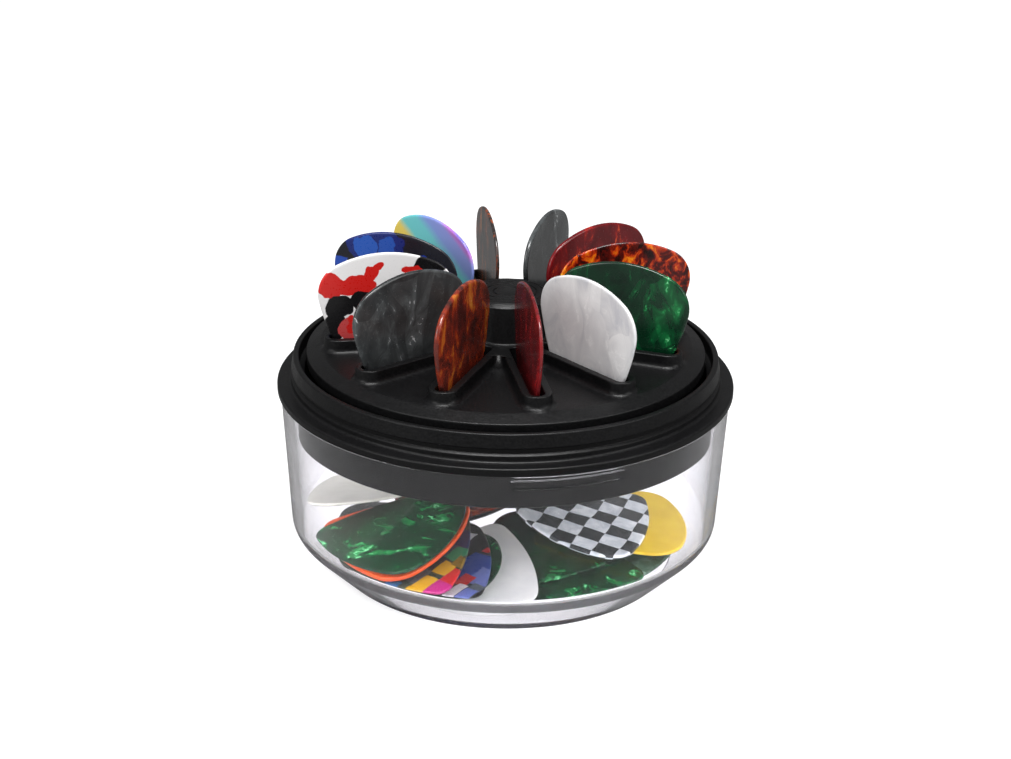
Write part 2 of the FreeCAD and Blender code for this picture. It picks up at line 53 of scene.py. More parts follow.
def rounded(corners, closed=False, steps=5):
    """Points through (across, up, rounding) corners, with an arc where rounding isn't 0."""
    count = len(corners)
    points = []
    for index, (across, up, rounding) in enumerate(corners):
        here = Vector((across, up))
        at_end = not closed and index in (0, count - 1)
        if rounding == 0 or at_end:
            points.append((across, up))
            continue
        before = Vector(corners[index - 1][:2]) - here
        after = Vector(corners[(index + 1) % count][:2]) - here
        half = before.angle(after) / 2
        if half > math.radians(89.5):
            points.append((across, up))
            continue
        reach = min(rounding / math.tan(half), 0.49 * before.length, 0.49 * after.length)
        radius = reach * math.tan(half)
        inward = (before.normalized() + after.normalized()).normalized()
        centre = here + inward * (radius / math.sin(half))
        first = here + before.normalized() * reach - centre
        last = here + after.normalized() * reach - centre
        turn = first.angle_signed(last)
        for step in range(steps + 1):
            spoke = Matrix.Rotation(-turn * step / steps, 2) @ first
            points.append(tuple(centre + spoke))
    return points


def polar(radius, angle, height):
    return Vector((radius * math.cos(angle), radius * math.sin(angle), height))


def finished_mesh(name, vertices, faces, sharp=40.0):
    """A welded, outward-facing, smooth-shaded object from vertices in millimetres."""
    mesh = bpy.data.meshes.new(name)
    mesh.from_pydata([tuple(v * MM) for v in vertices], [], faces)
    work = bmesh.new()
    work.from_mesh(mesh)
    bmesh.ops.remove_doubles(work, verts=work.verts, dist=WELD)
    bmesh.ops.dissolve_degenerate(work, edges=work.edges, dist=WELD / 4)
    bmesh.ops.recalc_face_normals(work, faces=work.faces)
    for face in work.faces:
        face.smooth = True
    for edge in work.edges:
        edge.smooth = edge.calc_face_angle(0) < math.radians(sharp)
    work.to_mesh(mesh)
    work.free()
    piece = bpy.data.objects.new(name, mesh)
    bpy.context.scene.collection.objects.link(piece)
    weighting = piece.modifiers.new("even_shading", "WEIGHTED_NORMAL")
    weighting.keep_sharp = True
    return piece


def lathe(name, outline, segments=240, shift=None):
    """A closed turned shape. shift(radius, angle, height) may change a point's radius."""
    vertices = []
    faces = []
    rows = len(outline)
    for column in range(segments):
        angle = TAU * column / segments
        for radius, height in outline:
            moved = radius + shift(radius, angle, height) if shift else radius
            vertices.append(polar(moved, angle, height))
    for column in range(segments):
        following = (column + 1) % segments
        for row in range(rows):
            below = (row + 1) % rows
            face = [column * rows + row, column * rows + below,
                    following * rows + below, following * rows + row]
            faces.append(face)
    return finished_mesh(name, vertices, faces)


def smooth_step(value):
    value = min(1.0, max(0.0, value))
    return value * value * (3 - 2 * value)


# ---------------------------------------------------------------- materials

class Finish:
    """A node material. add() places a node and sets or links its inputs."""

    def __init__(self, name):
        self.material = bpy.data.materials.new(name)
        self.material.use_nodes = True
        self.tree = self.material.node_tree
        self.tree.nodes.clear()
        self.output = self.add("ShaderNodeOutputMaterial")
        self.shader = self.add("ShaderNodeBsdfPrincipled")
        self.link(self.shader.outputs[0], self.output.inputs["Surface"])

    def link(self, source, target):
        self.tree.links.new(source, target)

    def add(self, kind, settings=None, **inputs):
        node = self.tree.nodes.new(kind)
        for key, value in (settings or {}).items():
            setattr(node, key, value)
        for key, value in inputs.items():
            self.put(node.inputs[key.replace("_", " ")], value)
        return node

    def put(self, target, value):
        if isinstance(value, bpy.types.NodeSocket):
            self.link(value, target)
        else:
            target.default_value = value

    def surface(self, **inputs):
        for key, value in inputs.items():
            self.put(self.shader.inputs[key.replace("_", " ")], value)

    def place(self):
        """The piece's own coordinates in millimetres."""
        return self.add("ShaderNodeAttribute", {"attribute_name": PLACE}).outputs["Vector"]

    def metres(self):
        return self.add("ShaderNodeTexCoord").outputs["Object"]

    def number(self, operation, first, second=0.0, third=0.0):
        node = self.add("ShaderNodeMath", {"operation": operation})
        self.put(node.inputs[0], first)
        self.put(node.inputs[1], second)
        self.put(node.inputs[2], third)
        return node.outputs[0]

    def vector(self, operation, first, second=(0, 0, 0), scale=1.0):
        node = self.add("ShaderNodeVectorMath", {"operation": operation})
        self.put(node.inputs[0], first)
        if operation == "SCALE":
            self.put(node.inputs["Scale"], scale)
        else:
            self.put(node.inputs[1], second)
        return node.outputs[0]

    def noise(self, place, scale, detail=2.0, roughness=0.5, distortion=0.0, colour=False):
        node = self.add("ShaderNodeTexNoise", Vector=place, Scale=scale, Detail=detail,
                        Roughness=roughness, Distortion=distortion)
        return node.outputs["Color" if colour else "Fac"]

    def cells(self, place, scale, feature="F1", output="Color", smooth=0.0):
        node = self.add("ShaderNodeTexVoronoi", {"feature": feature}, Vector=place, Scale=scale)
        if smooth:
            node.inputs["Smoothness"].default_value = smooth
        return node.outputs[output]

    def warped(self, place, scale, amount, detail=2.0):
        """place, pushed about by a noise of that scale."""
        swirl = self.noise(place, scale, detail, colour=True)
        centred = self.vector("SUBTRACT", swirl, (0.5, 0.5, 0.5))
        pushed = self.vector("SCALE", centred, scale=amount)
        return self.vector("ADD", place, pushed)

    def stretched(self, place, turn, size):
        """place turned about its depth axis by turn degrees and scaled."""
        node = self.add("ShaderNodeMapping", Vector=place)
        node.inputs["Rotation"].default_value = (0, 0, math.radians(turn))
        node.inputs["Scale"].default_value = size
        return node.outputs[0]

    def ramp(self, factor, stops, smooth="LINEAR"):
        node = self.add("ShaderNodeValToRGB", Fac=factor)
        node.color_ramp.interpolation = smooth
        band = node.color_ramp.elements
        band[0].position = stops[0][0]
        band[1].position = stops[-1][0]
        for position, _ in stops[1:-1]:
            band.new(position)
        for element, (_, colour) in zip(band, stops):
            element.color = (*colour, 1)
        return node.outputs["Color"]

    def steps(self, factor, low, high):
        """0 below low, 1 above high."""
        node = self.add("ShaderNodeMapRange", {"interpolation_type": "SMOOTHSTEP"}, Value=factor)
        node.inputs["From Min"].default_value = low
        node.inputs["From Max"].default_value = high
        return node.outputs[0]

    def mix(self, factor, first, second, blend="MIX"):
        node = self.add("ShaderNodeMix", {"data_type": "RGBA", "blend_type": blend})
        self.put(node.inputs[0], factor)
        for socket, value in ((node.inputs[6], first), (node.inputs[7], second)):
            if isinstance(value, tuple):
                value = (*value, 1)
            self.put(socket, value)
        return node.outputs[2]

    def reflected(self, path):
        """1 for a ray that has been reflected on its way, 0 for one that only went through."""
        others = self.number("SUBTRACT", path.outputs["Ray Depth"],
                             path.outputs["Transmission Depth"])
        return self.number("MINIMUM", others, 1.0)

    def bump(self, height, distance, strength=1.0):
        node = self.add("ShaderNodeBump", Height=height, Strength=strength, Distance=distance)
        self.surface(Normal=node.outputs[0])


def rgb(red, green, blue):
    """Linear colour of an sRGB one given from 0 to 255."""
    def linear(value):
        value /= 255
        return value / 12.92 if value <= 0.04045 else ((value + 0.055) / 1.055) ** 2.4
    return (linear(red), linear(green), linear(blue))


def clear_plastic():
    finish = Finish("clear_plastic")
    handling = finish.noise(finish.metres(), 45.0, 2.0)
    haze = finish.add("ShaderNodeMapRange", Value=handling)
    haze.inputs["To Min"].default_value = 0.01
    haze.inputs["To Max"].default_value = 0.03
    finish.surface(Base_Color=(1, 1, 1, 1), Roughness=haze.outputs[0], IOR=1.49,
                   Transmission_Weight=1.0)
    depth = finish.add("ShaderNodeVolumeAbsorption", Color=(0.79, 0.77, 0.84, 1), Density=62.0)
    finish.link(depth.outputs[0], finish.output.inputs["Volume"])
    see_through = finish.add("ShaderNodeBsdfTransparent", Color=(0.97, 0.97, 0.975, 1))
    path = finish.add("ShaderNodeLightPath")
    mixer = finish.add("ShaderNodeMixShader")
    inner = finish.number("MULTIPLY", finish.reflected(path), 0.7)
    finish.link(finish.number("MAXIMUM", path.outputs["Is Shadow Ray"], inner), mixer.inputs[0])
    finish.link(finish.shader.outputs[0], mixer.inputs[1])
    finish.link(see_through.outputs[0], mixer.inputs[2])
    finish.link(mixer.outputs[0], finish.output.inputs["Surface"])
    return finish.material


def black_plastic():
    """Spark-textured matt black moulding."""
    finish = Finish("black_plastic")
    place = finish.metres()
    grain = finish.noise(place, 2700.0, 3.0, 0.6)
    mottle = finish.noise(place, 260.0, 2.0)
    colour = finish.ramp(grain, [(0.35, rgb(8, 8, 9)), (0.7, rgb(22, 22, 23))])
    dull = finish.add("ShaderNodeMapRange", Value=finish.number("MULTIPLY_ADD", mottle, 0.3,
                      finish.number("MULTIPLY", grain, 0.7)))
    dull.inputs["From Min"].default_value = 0.35
    dull.inputs["From Max"].default_value = 0.65
    dull.inputs["To Min"].default_value = 0.3
    dull.inputs["To Max"].default_value = 0.46
    path = finish.add("ShaderNodeLightPath")
    shine = finish.number("MULTIPLY_ADD", path.outputs["Is Transmission Ray"], -0.14, 0.27)
    finish.surface(Base_Color=colour, Roughness=dull.outputs[0], Specular_IOR_Level=shine)
    finish.bump(grain, 0.00004, 0.8)
    return finish.material


def silicone():
    finish = Finish("seal_silicone")
    dust = finish.noise(finish.metres(), 1500.0, 4.0)
    colour = finish.ramp(dust, [(0.3, rgb(38, 38, 40)), (0.75, rgb(60, 60, 62))])
    finish.surface(Base_Color=colour, Roughness=0.62, Sheen_Weight=0.2)
    finish.bump(dust, 0.00002, 0.5)
    return finish.material


def steel():
    finish = Finish("steel")
    place = finish.metres()
    scratches = finish.noise(place, 5200.0, 4.0, 0.7)
    colour = finish.ramp(scratches, [(0.3, (0.42, 0.42, 0.43)), (0.75, (0.62, 0.62, 0.63))])
    finish.surface(Base_Color=colour, Metallic=1.0, Roughness=0.3)
    finish.bump(scratches, 0.00001, 0.4)
    return finish.material


def acetal():
    finish = Finish("acetal")
    cloud = finish.noise(finish.metres(), 700.0, 3.0)
    colour = finish.ramp(cloud, [(0.3, (0.70, 0.69, 0.66)), (0.75, (0.80, 0.79, 0.76))])
    finish.surface(Base_Color=colour, Roughness=0.38, Subsurface_Weight=0.05)
    finish.bump(cloud, 0.00001, 0.4)
    return finish.material


def polished(finish, roughness=0.24):
    """A pick's tumbled surface: faint waviness and a glossy skin."""
    place = finish.place()
    waves = finish.noise(place, 0.5, 3.0, 0.6)
    wear = finish.noise(place, 2.4, 4.0, 0.6)
    gloss = finish.add("ShaderNodeMapRange", Value=wear)
    gloss.inputs["To Min"].default_value = roughness * 0.75
    gloss.inputs["To Max"].default_value = roughness * 1.35
    finish.surface(Roughness=gloss.outputs[0], Coat_Weight=0.35, Coat_Roughness=0.12)
    finish.bump(waves, 0.00003, 0.3)
    return finish.material


def pearl(name, shades, turn=35.0, flake=0.15, fibre=0.3, streak=0.34, roughness=0.24):
    """Pearl celluloid: crumpled satin flakes with torn, bright streaks along their folds."""
    finish = Finish(name)
    place = finish.stretched(finish.place(), turn, (1.0, 0.6, 1.0))
    curled = finish.warped(place, 0.12, 5.0, 1.0)
    tone = finish.add("ShaderNodeSeparateColor", Color=finish.cells(curled, flake)).outputs[0]
    folds = finish.noise(finish.warped(curled, 0.2, 3.0, 1.0), fibre, 4.0, 0.6, 0.8)
    crease = finish.cells(finish.warped(place, 0.3, 2.5), flake * 2.2, "SMOOTH_F1", "Distance", 0.5)
    glint = finish.number("MULTIPLY", crease, 0.2)
    threads = finish.noise(finish.stretched(curled, 25.0, (1.0, 0.42, 1.0)), fibre * 1.7, 5.0, 0.62)
    ridge = finish.number("ABSOLUTE", finish.number("SUBTRACT", threads, 0.5))
    torn = finish.steps(ridge, 0.035, 0.0)
    where = finish.steps(folds, 0.54, 0.68)
    bright = finish.number("MULTIPLY", finish.number("MULTIPLY", torn, where), streak)
    satin = finish.number("MULTIPLY_ADD", tone, 0.2, finish.number("MULTIPLY", folds, 0.75))
    whole = finish.number("ADD", finish.number("ADD", satin, glint), bright)
    finish.surface(Base_Color=finish.ramp(whole, shades))
    return polished(finish, roughness)


def tortoise(name, shades, turn=10.0, size=0.2, stretch=0.45, roughness=0.24):
    """Celluloid tortoiseshell: dark clouds over glowing amber."""
    finish = Finish(name)
    place = finish.stretched(finish.place(), turn, (1.0, stretch, 1.0))
    clouds = finish.noise(finish.warped(place, size * 1.3, 3.2), size, 6.0, 0.6, 0.5)
    finish.surface(Base_Color=finish.ramp(clouds, shades))
    return polished(finish, roughness)


def plain(name, dark, light, roughness=0.3):
    """One colour of celluloid with faint clouds."""
    finish = Finish(name)
    clouds = finish.noise(finish.warped(finish.place(), 0.3, 2.0), 0.28, 4.0)
    finish.surface(Base_Color=finish.ramp(clouds, [(0.3, dark), (0.7, light)]))
    return polished(finish, roughness)


CHECK_TURN = -20.0


def checked(name, dark, light, square=4.3):
    """Printed squares, a little waved, over marbled light and dark."""
    finish = Finish(name)
    place = finish.place()
    turned = finish.stretched(place, CHECK_TURN, (1, 1, 1))
    waved = finish.warped(turned, 0.12, 1.4, 1.0)
    marble = finish.noise(finish.warped(place, 0.3, 3.0), 0.4, 5.0, 0.6)
    light_cell = finish.ramp(marble, [(0.35, light[0]), (0.65, light[1])])
    dark_cell = finish.ramp(marble, [(0.35, dark[0]), (0.65, dark[1])])
    squares = finish.add("ShaderNodeTexChecker", Vector=waved, Scale=1 / square)
    colour = finish.mix(squares.outputs["Fac"], dark_cell, light_cell)
    finish.surface(Base_Color=colour)
    return polished(finish)


def patched(name, ground, blots, ragged=2.6):
    """Torn patches over a ground, each (colour, (across, up), (half width, half height)) in mm."""
    finish = Finish(name)
    place = finish.warped(finish.warped(finish.place(), 0.22, ragged, 3.0), 1.1, 0.5, 2.0)
    colour = ground
    for patch, centre, reach in blots:
        moved = finish.vector("SUBTRACT", place, (*centre, 0))
        scaled = finish.vector("DIVIDE", moved, (*reach, 30.0))
        away = finish.add("ShaderNodeVectorMath", {"operation": "LENGTH"})
        finish.link(scaled, away.inputs[0])
        cover = finish.steps(away.outputs["Value"], 1.03, 0.97)
        colour = finish.mix(cover, colour, patch)
    finish.surface(Base_Color=colour)
    return polished(finish, 0.28)


TILE_TURN = -24.0


def tiled(name, ground, tiles):
    """Printed tiles over a ground, each (colour, (across, up), (half width, half height)) in mm."""
    finish = Finish(name)
    turned = finish.stretched(finish.place(), TILE_TURN, (1, 1, 1))
    place = finish.warped(finish.warped(turned, 0.16, 1.8, 1.0), 1.4, 0.25, 2.0)
    turn = Matrix.Rotation(math.radians(TILE_TURN), 2)
    colour = ground
    for tile, centre, reach in tiles:
        moved = finish.vector("SUBTRACT", place, (*(turn @ Vector(centre)), 0))
        scaled = finish.vector("ABSOLUTE", finish.vector("DIVIDE", moved, (*reach, 30.0)))
        parts = finish.add("ShaderNodeSeparateXYZ", Vector=scaled)
        away = finish.number("MAXIMUM", parts.outputs["X"], parts.outputs["Y"])
        colour = finish.mix(finish.steps(away, 1.04, 0.96), colour, tile)
    shade = finish.noise(finish.place(), 3.2, 3.0)
    grain = finish.ramp(shade, [(0.3, (0.72, 0.72, 0.72)), (0.7, (1.0, 1.0, 1.0))])
    finish.surface(Base_Color=finish.mix(1.0, colour, grain, "MULTIPLY"))
    return polished(finish, 0.28)


def iridescent(name):
    """Slanting bands of pale spectral colour."""
    finish = Finish(name)
    place = finish.place()
    parts = finish.add("ShaderNodeSeparateXYZ", Vector=finish.warped(place, 0.1, 1.2, 1.0))
    rise = finish.number("MULTIPLY", parts.outputs["Y"], 0.85)
    slant = finish.number("MULTIPLY_ADD", parts.outputs["X"], -0.5, rise)
    sparkle = finish.noise(place, 5.0, 3.0)
    grainy = finish.number("MULTIPLY_ADD", sparkle, 1.2, slant)
    share = finish.number("MULTIPLY_ADD", grainy, 1 / 30, 0.5)
    finish.surface(Base_Color=finish.ramp(share, [
        (0.0, rgb(70, 170, 120)), (0.2, rgb(110, 206, 196)), (0.34, rgb(214, 196, 110)),
        (0.42, rgb(232, 160, 170)), (0.5, rgb(240, 208, 80)), (0.6, rgb(240, 214, 96)),
        (0.66, rgb(112, 212, 212)), (0.77, rgb(116, 214, 218)), (0.84, rgb(138, 164, 232)),
        (0.92, rgb(150, 158, 232)), (0.955, rgb(196, 120, 208)), (0.985, rgb(110, 120, 214)),
        (1.0, rgb(40, 56, 140))]),
        Metallic=0.05)
    return polished(finish, 0.22)


RED = rgb(206, 30, 26)
TILE_YELLOW = rgb(212, 162, 28)
TILE_MAGENTA = rgb(184, 34, 124)
TILE_RED = rgb(200, 34, 36)
TILE_BLUE = rgb(34, 64, 146)
TILE_WHITE = rgb(224, 222, 228)
BLACK = rgb(17, 16, 18)

MATERIALS = {
    "clear_plastic": clear_plastic(),
    "black_plastic": black_plastic(),
    "seal_silicone": silicone(),
    "steel": steel(),
    "acetal": acetal(),
    # the tortoise shades are lightened by a painted haze: the milky reflection of light on the pick's
    # edges is painted into its colours
    "tortoise": tortoise("tortoise", [
        (0.38, rgb(62, 30, 26)), (0.48, rgb(104, 38, 28)), (0.56, rgb(142, 48, 26)),
        (0.64, rgb(190, 104, 38)), (0.74, rgb(212, 150, 64))], turn=8.0, size=0.26, stretch=0.5),
    "amber_tortoise": tortoise("amber_tortoise", [
        (0.4, rgb(34, 6, 5)), (0.48, rgb(92, 14, 8)), (0.53, rgb(196, 54, 10)),
        (0.6, rgb(246, 140, 18)), (0.7, rgb(255, 206, 60))], turn=35.0, size=0.27, stretch=0.75),
    "brown_tortoise": tortoise("brown_tortoise", [
        (0.44, rgb(46, 40, 39)), (0.54, rgb(66, 54, 50)), (0.6, rgb(150, 66, 30)),
        (0.7, rgb(206, 140, 60))], turn=0.0, size=0.42, stretch=0.3),
    "red_pearl": pearl("red_pearl", [
        (0.4, rgb(78, 22, 26)), (0.6, rgb(110, 26, 30)), (0.76, rgb(148, 30, 34)),
        (0.94, rgb(222, 52, 54))], turn=80.0, streak=0.24),
    "dark_red": pearl("dark_red", [
        (0.4, rgb(84, 8, 14)), (0.62, rgb(112, 14, 20)), (0.76, rgb(160, 24, 18)),
        (0.86, rgb(214, 76, 26))]),
    "white_pearl": pearl("white_pearl", [
        (0.36, rgb(208, 209, 214)), (0.54, rgb(230, 230, 231)), (0.7, rgb(243, 243, 243)),
        (0.9, rgb(255, 255, 255))], turn=70.0, flake=0.12, fibre=0.2, streak=0.25),
    "green_pearl": pearl("green_pearl", [
        (0.38, rgb(3, 32, 18)), (0.58, rgb(5, 50, 28)), (0.7, rgb(10, 84, 44)),
        (0.84, rgb(34, 150, 78)), (0.98, rgb(140, 232, 170))], turn=60.0, fibre=0.26),
    "grey_pearl": pearl("grey_pearl", [
        (0.36, rgb(42, 44, 45)), (0.62, rgb(62, 65, 66)), (0.82, rgb(92, 96, 97)),
        (0.98, rgb(206, 208, 210))], turn=50.0, streak=0.2),
    "blue_pearl": patched("blue_pearl", rgb(24, 25, 34), [
        (rgb(16, 36, 112), (4.2, 10.0), (6.4, 4.6)), (rgb(28, 84, 180), (6.2, 9.4), (2.6, 3.0)),
        (rgb(26, 78, 172), (1.6, 9.6), (1.7, 2.8)), (rgb(20, 52, 150), (-5.6, 8.6), (1.6, 0.9)),
        (rgb(24, 70, 170), (11.6, 4.0), (1.4, 2.6)), (rgb(26, 74, 170), (0.0, -3.0), (5.0, 3.0)),
        (rgb(20, 44, 130), (-8.0, 0.0), (2.4, 4.0))], ragged=5.0),
    "iridescent": iridescent("iridescent"),
    "patchwork": patched("patchwork", rgb(236, 234, 234), [
        (RED, (10.8, 6.9), (2.6, 2.6)), (RED, (5.8, 6.7), (4.0, 2.2)),
        (RED, (2.8, 9.2), (1.5, 1.4)), (RED, (1.4, 10.4), (0.9, 0.8)),
        (BLACK, (9.0, 2.6), (2.7, 2.4)), (BLACK, (10.0, -1.4), (1.9, 3.4)),
        (BLACK, (4.6, 3.4), (2.2, 2.0)), (BLACK, (0.2, 1.0), (2.6, 4.4)),
        (rgb(196, 70, 70), (7.4, -2.2), (1.9, 2.2)), (RED, (7.0, -1.2), (0.9, 1.9)),
        (BLACK, (-8.2, 10.4), (3.2, 2.2)), (RED, (-5.0, 9.4), (1.9, 1.1)),
        (RED, (-7.0, -3.0), (3.0, 3.4))], ragged=2.8),
    "orange": plain("orange", rgb(222, 70, 12), rgb(240, 92, 20)),
    "cream": plain("cream", rgb(222, 219, 210), rgb(236, 233, 226)),
    "white": plain("white", rgb(236, 236, 238), rgb(248, 248, 248)),
    "yellow": plain("yellow", rgb(236, 194, 30), rgb(248, 212, 48)),
    "colour_patches": tiled("colour_patches", rgb(50, 64, 52), [
        (rgb(92, 92, 98), (-2.5, -9.6), (2.2, 1.7)), (rgb(34, 38, 42), (2.0, -8.0), (2.2, 1.7)),
        (rgb(36, 46, 92), (8.4, -3.2), (2.8, 4.0)), (rgb(80, 74, 94), (5.0, -5.3), (2.0, 2.4)),
        (rgb(40, 132, 92), (6.2, -8.2), (1.9, 1.6)), (TILE_YELLOW, (2.5, -10.9), (2.0, 1.7)),
        (TILE_YELLOW, (-2.2, -13.0), (2.0, 1.7)), (TILE_YELLOW, (-5.7, -14.1), (1.7, 1.5)),
        (rgb(134, 106, 30), (5.8, -10.9), (1.5, 1.4)), (rgb(46, 104, 164), (-8.0, -9.7), (1.9, 1.5)),
        (TILE_MAGENTA, (-1.2, -16.6), (4.8, 2.1)), (TILE_RED, (2.9, -14.4), (2.1, 1.7)),
        (TILE_YELLOW, (-4.0, 6.0), (2.2, 2.0)), (TILE_BLUE, (1.0, 1.0), (3.0, 2.6)),
        (TILE_RED, (-7.5, 1.0), (2.2, 2.2)), (TILE_MAGENTA, (-1.0, 10.0), (4.4, 1.7)),
        (rgb(40, 132, 92), (5.5, 8.0), (2.4, 2.2)), (TILE_YELLOW, (-6.0, -4.0), (1.8, 1.6))]),
    "check": checked("check", (rgb(30, 32, 36), rgb(60, 64, 68)),
                     (rgb(190, 196, 206), rgb(232, 235, 240))),
    "grey": pearl("grey", [
        (0.38, rgb(34, 62, 50)), (0.6, rgb(56, 88, 73)), (0.78, rgb(88, 122, 106)),
        (0.95, rgb(156, 184, 170))], turn=20.0),
    "pale_blue": plain("pale_blue", rgb(150, 190, 216), rgb(176, 208, 228)),
}


# the second colour-patch pick shows another part of the same print
OTHER_PRINTS = {
    "loose_pick_patch_blue": tiled("colour_patches_blue", BLACK, [
        (TILE_WHITE, (9.7, 3.0), (1.3, 1.3)), (TILE_WHITE, (13.6, 6.6), (1.2, 2.6)),
        (TILE_RED, (10.0, -3.8), (0.9, 0.8)), (TILE_BLUE, (4.8, -8.2), (4.6, 3.4)),
        (rgb(104, 116, 182), (4.2, -12.4), (3.2, 2.4)), (TILE_BLUE, (1.2, -8.4), (2.6, 2.0)),
        (rgb(84, 92, 102), (0.4, -15.4), (2.0, 1.4)), (TILE_RED, (0.8, -11.2), (1.9, 1.3)),
        (rgb(98, 112, 182), (-3.3, -16.9), (4.2, 1.4)), (TILE_WHITE, (-2.4, -13.6), (2.5, 1.1)),
        (TILE_WHITE, (3.0, 4.0), (1.4, 1.4)), (TILE_WHITE, (6.4, 7.6), (1.4, 1.4)),
        (TILE_YELLOW, (-4.0, 6.0), (2.2, 2.0)), (TILE_MAGENTA, (-1.0, 10.0), (4.4, 1.7)),
        (TILE_RED, (-7.5, 1.0), (2.2, 2.2)), (TILE_BLUE, (-5.0, -5.0), (2.4, 2.6))]),
}


def settle(piece, body, slot, *nodes):
    """Give a piece its material and its body, and hide the CAD nodes that it stands for."""
    piece.data.materials.clear()
    piece.data.materials.append(MATERIALS[slot])
    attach(piece, body)
    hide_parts(*nodes)
    return piece


# ---------------------------------------------------------------- bowl

BOWL_RIM = 36.0
LUG_BOTTOM = 32.7
LUG_TOP = 34.5
LUG_BULGE = 0.62
LUG_CENTRE = math.radians(-74.0)
LUG_SPAN = math.radians(28.0)
LUG_SHOULDER = math.radians(1.6)
LUG_SPACING = TAU / 3


def lug_bulge(radius, angle, height):
    """How far the snap lugs stand in from the bowl's inner wall, as a change of radius."""
    middle = (LUG_BOTTOM + LUG_TOP) / 2
    half = (LUG_TOP - LUG_BOTTOM) / 2
    on_inner_wall = radius < 43.0 and abs(height - middle) < half + 0.3
    if not on_inner_wall:
        return 0.0
    nearest = (angle - LUG_CENTRE + LUG_SPACING / 2) % LUG_SPACING - LUG_SPACING / 2
    along = smooth_step((LUG_SPAN / 2 - abs(nearest)) / LUG_SHOULDER + 0.5)
    across = smooth_step((half + 0.15 - abs(height - middle)) / 0.45)
    return -LUG_BULGE * along * across


def make_bowl():
    outline = [
        (0.001, 0.6, 0), (31.6, 0.6, 0.8), (32.6, 0.0, 0.25), (34.4, 0.0, 0.5),
        (42.45, 8.1, 3.0), (44.0, 36.0, 0.45), (42.0, 36.0, 0.45),
    ]
    heights = [BOWL_RIM - 1.1] + [LUG_TOP + 0.35 - 0.14 * step for step in range(18)]
    wall_lean = (42.0 - 40.5) / (36.0 - 8.97)
    for height in heights:
        outline.append((42.0 - wall_lean * (BOWL_RIM - height), height, 0))
    outline += [(40.5, 8.97, 2.4), (33.95, 2.4, 1.2), (0.001, 2.4, 0)]
    shape = rounded(outline, closed=False, steps=6)
    bowl = lathe("bowl_shell", shape, segments=450, shift=lug_bulge)
    return settle(bowl, "bowl", "clear_plastic", "bowl")


# ---------------------------------------------------------------- lid

def make_lid():
    corners = [
        (0.001, 29.6, 0), (39.2, 29.6, 0.5), (39.5, 28.6, 0.1), (40.6, 28.6, 0.1),
        (40.9, 28.9, 0.1), (41.1, 36.1, 0.2), (42.0, 36.1, 0.1), (42.0, 36.84, 0.1),
        (43.6, 36.84, 0.1), (43.6, 36.1, 0.1), (44.65, 36.1, 0.35), (44.65, 37.7, 0.45),
        (41.9, 37.7, 1.0), (41.9, 38.9, 0.2), (41.35, 39.3, 0.15), (41.35, 40.15, 0.15),
        (41.85, 40.4, 0.12), (41.4, 43.0, 0.38), (40.3, 43.0, 0.3), (40.3, 40.4, 0.2),
        (39.2, 39.8, 0.2), (39.2, 31.2, 0.6), (4.0, 31.2, 0.5), (4.0, 47.1, 0.2),
        (1.55, 47.1, 0.15), (1.55, 35.0, 0), (0.001, 35.0, 0),
    ]
    lid = lathe("lid_shell", rounded(corners), segments=360)
    return settle(lid, "lid", "black_plastic", "lid")


def make_hub_cap():
    top = 55.0
    corners = [(0.001, 53.2, 0), (5.2, 53.2, 0.1), (5.2, 51.4, 0.1), (6.3, 51.4, 0.15),
               (6.3, 53.2, 0.1), (7.05, 53.2, 0.08), (7.05, top, 0.12)]
    for inner in (5.6, 4.0, 2.4):
        corners += [(inner + 0.35, top, 0.06), (inner + 0.3, top - 0.25, 0.05),
                    (inner + 0.05, top - 0.25, 0.05), (inner, top, 0.06)]
    corners.append((0.001, top, 0))
    cap = lathe("hub_cap_disc", rounded(corners, steps=3), segments=160)
    return settle(cap, "carousel", "black_plastic", "hub_cap")


# ---------------------------------------------------------------- carousel

SECTORS = 12
FIRST_SLOT = math.radians(10.0)
WEDGE = math.tan(math.pi / SECTORS)
SLOT_INNER = 11.7
SLOT_OUTER = 33.15
SLOT_HALF = 1.3
SLOT_LIP = 0.25
COLLAR_OUTER = 32.6
COLLAR_HALF = 2.8
COLLAR_ROOT = 1.46
COLLAR_TOP = 47.4
DISC_TOP = 44.9
SLOPE_RADIUS = 36.0
HUB_ROOT = 0.5
HUB_BOTTOM_RADIUS = 9.9
HUB_LEAN = (9.9 - 8.3) / (54.3 - 44.9)
POCKET_HALF = 2.4
TUBE_RADIUS = 6.0
UNDERSIDE = 43.1
RIM_INNER = 37.3

# a collar's side: (distance from its centre-line, height), from its rounded top edge
# down the wall and through the soft flare onto the disc
COLLAR_SIDE = rounded([(2.3, 47.4, 0), (COLLAR_HALF, 47.4, 0.35), (2.9, 46.0, 0)], steps=4)[1:]
FLARE_RADIUS = 1.05
for flare_step in range(1, 7):
    flare_angle = math.radians(15 * flare_step)
    COLLAR_SIDE.append((2.9 + FLARE_RADIUS * (1 - math.cos(flare_angle)),
                        45.95 - FLARE_RADIUS * math.sin(flare_angle)))


def hub_radius(height):
    return HUB_BOTTOM_RADIUS - HUB_LEAN * (height - DISC_TOP)


def collar_height(distance):
    """Height of the collar's side at that distance from its centre-line."""
    for (near, high), (far, low) in zip(COLLAR_SIDE, COLLAR_SIDE[1:]):
        if distance <= near:
            return high
        if distance <= far:
            return high + (low - high) * (distance - near) / (far - near)
    return DISC_TOP


def collar_root(across):
    """How much wider a collar is there, where it runs into its neighbour in a round corner."""
    centre = (COLLAR_HALF + COLLAR_ROOT) / WEDGE
    short = centre - across
    if short <= 0:
        return 0.0
    if short >= COLLAR_ROOT:
        return 99.0
    return COLLAR_ROOT - math.sqrt(COLLAR_ROOT ** 2 - short ** 2)


